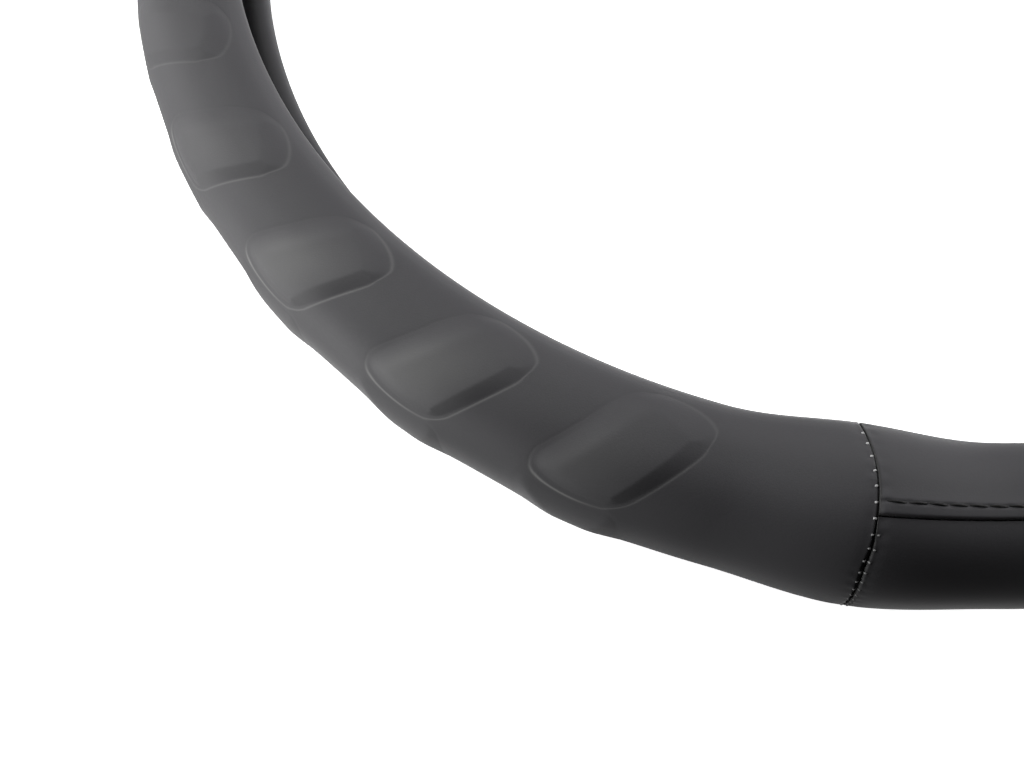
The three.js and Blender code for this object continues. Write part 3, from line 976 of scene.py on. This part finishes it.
def topstitch_row():
    """Places of the stitches along the folded edge of the bottom front strip, between its puckers."""
    step = TOPSTITCH_PITCH / around(1.0, STRIP_SEAM_MIDDLE)
    ends = (270 - SHORT_SPAN / 2 + TOPSTITCH_FIRST, 270 + SHORT_SPAN / 2 - TOPSTITCH_FIRST)
    numbers = np.arange(math.ceil(ends[0] / step - 0.5), math.floor(ends[1] / step - 0.5) + 1)
    angles = (numbers + 0.5) * step
    share = np.abs(angles - 270) / (SHORT_SPAN / 2)
    stations = station_at(arc_length(strip_seam(share)) + FOLD_GAP / 2 + TOPSTITCH_INSET)
    height = strip_relief(1, np.full(len(angles), TOPSTITCH_INSET), angles, stations)
    return ring_point(angles, stations, -height), leather_up(angles, stations)


def build_stitching():
    places, ups, paired = cross_seam_row()
    turns = (np.asarray, mirrored, turned_round, upside_turned)
    outer = [(turn(places[paired]), turn(ups[paired])) for turn in turns]
    sew("outer_cross_stitching", outer, GREY_THREAD, CROSS_LOOP, CROSS_THREAD, True)
    for name, sides in (("left", turns[0::2]), ("right", turns[1::2])):
        front = [(turn(places[~paired]), turn(ups[~paired])) for turn in sides]
        loop = mirrored(np.array(CROSS_LOOP)) if name == "left" else CROSS_LOOP
        sew(name + "_front_cross_stitching", front, LIGHT_THREAD, loop, FRONT_CROSS_THREAD, False)
    places, ups = topstitch_row()
    rows = [(places, ups), (turned_round(places), turned_round(ups))]
    sew("strip_topstitching", rows, BLACK_THREAD, TOPSTITCH_LOOP, TOPSTITCH_THREAD, False)


def build_liner():
    liner = mesh_from_grid("rubber_liner", liner_points(), endless=True)
    liner.data.materials.append(RUBBER_LOOK)
    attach(liner, "root")
    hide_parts("inner_grip_ring")


def dress_foam():
    for name in ("left_grip_foam", "right_grip_foam", "bottom_foam", "top_foam"):
        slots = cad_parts[name].data.materials
        slots.clear()
        slots.append(FOAM_LOOK)


def build_camera():
    data = bpy.data.cameras.new("camera")
    data.lens = CAMERA_LENS
    data.sensor_width = 36
    data.clip_start = 0.01
    camera = bpy.data.objects.new("camera", data)
    view, up = Vector(CAMERA_VIEW).normalized(), Vector(CAMERA_UP)
    right = view.cross(up).normalized()
    turn = Matrix((right, right.cross(view), -view)).transposed().to_4x4()
    camera.matrix_world = Matrix.Translation(Vector(CAMERA_PLACE) * MM) @ turn
    bpy.context.scene.collection.objects.link(camera)
    bpy.context.scene.camera = camera


def area_light(name, place, aim, size, power):
    data = bpy.data.lights.new(name, "AREA")
    data.shape = "DISK"
    data.size = size
    data.energy = power
    light = bpy.data.objects.new(name, data)
    light.location = place
    light.rotation_euler = (Vector(aim) - Vector(place)).to_track_quat("-Z", "Y").to_euler()
    bpy.context.scene.collection.objects.link(light)


def build_floor():
    """A glowing white table that only the camera sees; the low lights shine through it."""
    mesh = bpy.data.meshes.new("floor")
    corners = [(-FLOOR_REACH, -FLOOR_REACH, 0), (FLOOR_REACH, -FLOOR_REACH, 0)]
    corners += [(FLOOR_REACH, FLOOR_REACH, 0), (-FLOOR_REACH, FLOOR_REACH, 0)]
    mesh.from_pydata(corners, [], [(0, 1, 2, 3)])
    floor = bpy.data.objects.new("floor", mesh)
    bpy.context.scene.collection.objects.link(floor)
    mesh.materials.append(shader("pale_floor", {
        "Roughness": 0.9, "Base Color": (0.9, 0.9, 0.9, 1),
        "Emission Color": (1, 1, 1, 1), "Emission Strength": FLOOR_GLOW,
    })[0])
    floor.visible_diffuse = False
    floor.visible_glossy = False
    floor.visible_shadow = False


def build_world():
    """Faint even light from all round."""
    world = bpy.data.worlds.new("studio")
    world.use_nodes = True
    background = world.node_tree.nodes["Background"]
    background.inputs["Color"].default_value = (WORLD_GLOW, WORLD_GLOW, WORLD_GLOW, 1)
    bpy.context.scene.world = world


def build_studio():
    build_floor()
    build_world()
    for name, azimuth, height, size, power in SOFTBOXES:
        turn, rise = math.radians(azimuth), math.radians(height)
        way = Vector((math.cos(turn) * math.cos(rise), math.sin(turn) * math.cos(rise), math.sin(rise)))
        area_light(name, Vector(LIGHT_AIM) + way * LIGHT_DISTANCE, LIGHT_AIM, size, power)
    bpy.context.scene.view_settings.view_transform = "Standard"


STITCH_TREE = stitch_tree()

build_camera()
build_leather()
build_stitching()
build_liner()
dress_foam()
build_studio()
